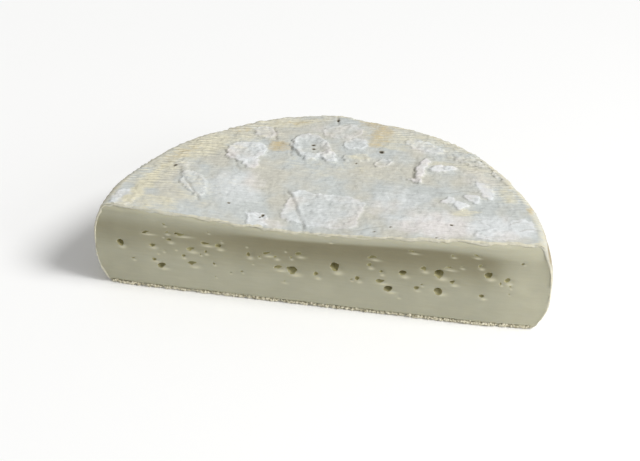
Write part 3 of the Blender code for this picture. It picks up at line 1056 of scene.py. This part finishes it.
def crumb_material(settings):
    """Torn rind: dry cream and grey bits with no gloss."""
    material, tree, shader = new_material("torn_rind_crumb")
    place = add_node(tree, "ShaderNodeTexCoord").outputs["Object"]
    mottle, grain = [
        add_node(tree, "ShaderNodeTexNoise", {"Vector": place, "Scale": 1 / size, "Detail": 2.0}).outputs[0]
        for size in (1.6 * MM, 0.3 * MM)]
    spread = add_node(tree, "ShaderNodeMapRange", {"Value": mottle, "From Min": 0.30, "From Max": 0.50})
    color = add_node(tree, "ShaderNodeMix", {
        MIX_FACTOR: spread.outputs[0], MIX_A: tuple(settings.dark_color), MIX_B: tuple(settings.light_color),
    }, data_type="RGBA").outputs[MIX_RESULT]
    shader.inputs["Roughness"].default_value = 0.85
    finish_surface(tree, shader, color, (), ((grain, 0.08 * MM, 0.6),))
    return material


def build_crumbs(settings):
    """Torn bits of rind along the lower edge of the cut, joined in one piece."""
    draw = random.Random(settings.seed)
    half_length = side_profile(RIND_ROWS, 0.0)[-1, 0]
    places, sizes = [], []
    for _ in range(settings.count):
        x = draw.uniform(-half_length, half_length)
        z = abs(draw.gauss(0.0, 0.75)) * MM + 0.8 * MM
        depth = float(face_place(np.array(x), np.array(z)))
        places.append((x + AXIS_X, AXIS_Y + depth + draw.uniform(-0.3, 0.3) * MM, z))
        big = 0.35 + 0.65 * draw.random() ** 2
        sizes.append((big, big * draw.uniform(0.6, 0.9), big * draw.uniform(0.5, 0.8)))
    mesh = bpy.data.meshes.new("crumb_points")
    mesh.from_pydata(places, [], [])
    layer = mesh.attributes.new("crumb_size", "FLOAT_VECTOR", "POINT")
    layer.data.foreach_set("vector", np.array(sizes, dtype=np.float32).ravel())
    piece = bpy.data.objects.new("crumbs", mesh)
    bpy.context.scene.collection.objects.link(piece)
    run_tree(piece, *crumb_tree(settings.size, 8.0, crumb_material(settings)))
    clip_to_box(piece)
    piece.data.shade_smooth()
    finish_piece(piece, "rind")
    return piece


# ---------------------------------------------------------------- stage

def build_stage(settings):
    """Pale floor, an even sky, a broad sun from the upper right, a softbox at the right, and the camera."""
    mesh = bpy.data.meshes.new("floor")
    plane = bmesh.new()
    bmesh.ops.create_grid(plane, x_segments=1, y_segments=1, size=settings.floor_size / 2)
    plane.to_mesh(mesh)
    plane.free()
    floor = bpy.data.objects.new("floor", mesh)
    bpy.context.scene.collection.objects.link(floor)
    # Matt white paper, with next to no gloss, so that the floor shows no reflection.
    material, _, shader = new_material("matt_studio_paper")
    shader.inputs["Base Color"].default_value = tuple(settings.floor_color)
    shader.inputs["Roughness"].default_value = 0.9
    shader.inputs["Specular IOR Level"].default_value = 0.1
    mesh.materials.append(material)

    world = bpy.data.worlds.new("studio")
    world.use_nodes = True
    sky = world.node_tree.nodes["Background"]
    sky.inputs["Color"].default_value = (1.0, 1.0, 1.0, 1.0)
    sky.inputs["Strength"].default_value = settings.sky_strength
    bpy.context.scene.world = world

    for name, kind, place, power in (
            ("key_sun", "SUN", KEY_SUN_PLACE, settings.key_strength),
            ("side_softbox", "AREA", SIDE_SOFTBOX_PLACE, settings.side_power)):
        light = bpy.data.lights.new(name, kind)
        light.energy = power
        if kind == "SUN":
            light.angle = settings.key_angle
        else:
            light.size = SIDE_SOFTBOX_SIZE
        lamp = bpy.data.objects.new(name, light)
        lamp.location = place
        lamp.rotation_euler = (-Vector(place)).to_track_quat("-Z", "Y").to_euler()
        bpy.context.scene.collection.objects.link(lamp)

    target = Vector((AXIS_X + settings.target_x, AXIS_Y, settings.target_z))
    yaw, pitch = settings.camera_yaw, settings.camera_pitch
    back = Vector((math.sin(yaw) * math.cos(pitch), -math.cos(yaw) * math.cos(pitch), math.sin(pitch)))
    camera_data = bpy.data.cameras.new("camera")
    camera_data.lens = settings.lens
    camera_data.sensor_width = 36.0
    camera = bpy.data.objects.new("camera", camera_data)
    camera.matrix_world = Matrix.Translation(target + back * settings.camera_distance) @ (
        back.to_track_quat("Z", "Y").to_matrix().to_4x4())
    bpy.context.scene.collection.objects.link(camera)
    bpy.context.scene.camera = camera
    bpy.context.scene.view_settings.view_transform = "Standard"


# ---------------------------------------------------------------- add-on

def color_property(name, code, description):
    return FloatVectorProperty(name=name, description=description, subtype="COLOR", size=4, min=0.0, max=1.0,
                               default=linear_color(code))


def length_property(name, default, description):
    return FloatProperty(name=name, description=description, default=default, min=0.0, unit="LENGTH",
                         precision=5)


class RindSettings(bpy.types.PropertyGroup):
    thickness: length_property("Thickness", 1.7 * MM, "Mean thickness of the rind at the cut")
    edge_raggedness: length_property("Edge raggedness", 2.0 * MM, "How far the torn edge of the rind wanders")
    edge_bevel: length_property("Edge bevel", 1.0 * MM, "How far the rind's edge stands back from the cut")
    flake_height: FloatProperty(name="Flake height", description="Share of the flakes' and welts' full height",
                                default=0.96, min=0.0, max=1.3)
    mat_pitch: length_property("Mat pitch", 3.0 * MM, "Distance between the lines left by the draining mat")
    mat_depth: length_property("Mat depth", 0.30 * MM, "Half height of those lines")
    mat_direction: FloatProperty(name="Mat direction", description="Degrees between the lines and the cut",
                                 default=10.0)
    mould_color: color_property("Mould", "#C6CAC7", "Cool grey mould over most of the top")
    warm_mould_color: color_property("Warm mould", "#CAC8BC", "Thinner mould, with the rind showing through")
    white_color: color_property("Fresh mould", "#E2E5E5", "Thick, cool white mould on flakes")
    pink_white_color: color_property("Pinkish mould", "#E2DEDB", "Fresh mould with a faint blush")
    cream_color: color_property("Bare rind", "#D8D3BC", "Cream rind where the mould is thin")
    ochre_color: color_property("Ripe rind", "#C8B78F", "Ochre rind near the rim and on the side")
    # Painted shade in the creases and pits, and the darkening of the side's upper part.
    shade_and_darkening_color: color_property("Creases", "#857C69", "Darkened creases")
    # Painted shade: the near-black colour painted inside the small pits.
    pit_shade_color: color_property("Specks", "#3F3B33", "Small pits where dark mould has taken hold")


class PasteSettings(bpy.types.PropertyGroup):
    eye_count: IntProperty(name="Eyes", description="Number of eyes on the cut face", default=70, min=20,
                           max=90)
    eye_seed: IntProperty(name="Eye seed", description="Changes where the small eyes fall", default=7)
    eye_unevenness: length_property("Eye unevenness", 2.4 * MM, "How far the eyes are from round")
    hollow_depth: length_property("Hollow", 1.8 * MM, "Further hollow of the paste below its upper lip")
    knife_marks: length_property("Knife marks", 0.16 * MM, "Depth of the drag left by the cut")
    under_rind_depth: length_property("Ripe depth", 9.0 * MM, "Depth of the darker paste under the rind")
    paste_color: color_property("Paste", "#B8B6A0", "Ivory paste")
    # Riper paste, and painted shade below the lip.
    ripe_and_shade_color: color_property("Paste under the rind", "#908A6E", "Riper paste next to the rind")
    # Moist wall tone, darkened further as painted shade inside the eyes.
    eye_wall_and_shade_color: color_property("Eye walls", "#A49E74", "Moist walls of the eyes")
    # Painted light on the lips beside the eyes, under the rind's edge and at the right end.
    lip_light_color: color_property("Torn lips", "#D2CEB4", "Paste torn up by the cut beside an eye")


class CrumbSettings(bpy.types.PropertyGroup):
    count: IntProperty(name="Crumbs", description="Number of crumbs on the lower edge", default=900, min=0,
                       max=1500)
    seed: IntProperty(name="Seed", description="Changes where the crumbs lie", default=4)
    size: length_property("Size", 1.5 * MM, "Half size of the largest crumb")
    light_color: color_property("Light crumbs", "#EEE8D0", "Dry cream rind")
    dark_color: color_property("Dark crumbs", "#978D6C", "Shaded or ripe rind")


class StageSettings(bpy.types.PropertyGroup):
    floor_size: length_property("Floor size", 6.0, "Side of the floor")
    floor_color: color_property("Floor", "#FAFAF9", "Pale paper floor")
    sky_strength: FloatProperty(name="Sky", description="Strength of the even light", default=0.42, min=0.0)
    key_strength: FloatProperty(name="Key light", description="Strength of the light from the upper right",
                                default=2.4, min=0.0)
    key_angle: FloatProperty(name="Key softness", description="Width of the key light in the sky",
                             subtype="ANGLE", default=math.radians(22), min=0.0)
    side_power: FloatProperty(name="Side light", description="Power of the softbox at the right", default=1.6,
                              min=0.0, unit="POWER")
    lens: FloatProperty(name="Lens", description="Focal length", default=67.5, min=10.0, unit="CAMERA")
    camera_distance: length_property("Camera distance", 0.7555, "From the lens to the point it looks at")
    camera_yaw: FloatProperty(name="Camera turn", description="Turn round the wheel", subtype="ANGLE",
                              default=math.radians(10.5))
    camera_pitch: FloatProperty(name="Camera height", description="Angle above the floor", subtype="ANGLE",
                                default=math.radians(35.57))
    target_x: FloatProperty(name="Look-at X", description="Side shift of the point looked at",
                            default=2.7 * MM, unit="LENGTH")
    target_z: FloatProperty(name="Look-at Z", description="Height of the point looked at",
                            default=61.96 * MM, unit="LENGTH")


class CHEESE_OT_rind(bpy.types.Operator):
    """Make the mouldy rind that takes the place of the plain solid"""
    bl_idname = "cheese.rind"
    bl_label = "Rind"

    def execute(self, context):
        build_rind(context.scene.cheese_rind)
        return {"FINISHED"}


class CHEESE_OT_paste(bpy.types.Operator):
    """Make the cut paste with its eyes"""
    bl_idname = "cheese.paste"
    bl_label = "Paste"

    def execute(self, context):
        build_paste(context.scene.cheese_paste)
        return {"FINISHED"}


class CHEESE_OT_crumbs(bpy.types.Operator):
    """Make the crumbs along the lower edge of the cut"""
    bl_idname = "cheese.crumbs"
    bl_label = "Crumbs"

    def execute(self, context):
        build_crumbs(context.scene.cheese_crumbs)
        return {"FINISHED"}


class CHEESE_OT_stage(bpy.types.Operator):
    """Make the floor, the lights and the camera"""
    bl_idname = "cheese.stage"
    bl_label = "Stage"

    def execute(self, context):
        build_stage(context.scene.cheese_stage)
        return {"FINISHED"}


GROUPS = (
    ("cheese_rind", RindSettings, CHEESE_OT_rind),
    ("cheese_paste", PasteSettings, CHEESE_OT_paste),
    ("cheese_crumbs", CrumbSettings, CHEESE_OT_crumbs),
    ("cheese_stage", StageSettings, CHEESE_OT_stage),
)


class CHEESE_PT_panel(bpy.types.Panel):
    """Sizes and colours of the half wheel, with a button for each piece"""
    bl_label = "Half Cheese Wheel"
    bl_space_type = "VIEW_3D"
    bl_region_type = "UI"
    bl_category = "Cheese"

    def draw(self, context):
        for attribute, settings, operator in GROUPS:
            box = self.layout.box()
            for name in settings.__annotations__:
                box.prop(getattr(context.scene, attribute), name)
            box.operator(operator.bl_idname)


def register():
    for attribute, settings, operator in GROUPS:
        bpy.utils.register_class(settings)
        bpy.utils.register_class(operator)
        setattr(bpy.types.Scene, attribute, PointerProperty(type=settings))
    bpy.utils.register_class(CHEESE_PT_panel)


def unregister():
    bpy.utils.unregister_class(CHEESE_PT_panel)
    for attribute, settings, operator in reversed(GROUPS):
        delattr(bpy.types.Scene, attribute)
        bpy.utils.unregister_class(operator)
        bpy.utils.unregister_class(settings)


def main():
    register()
    bpy.ops.cheese.rind()
    bpy.ops.cheese.paste()
    bpy.ops.cheese.crumbs()
    bpy.ops.cheese.stage()


if __name__ == "__main__":
    main()
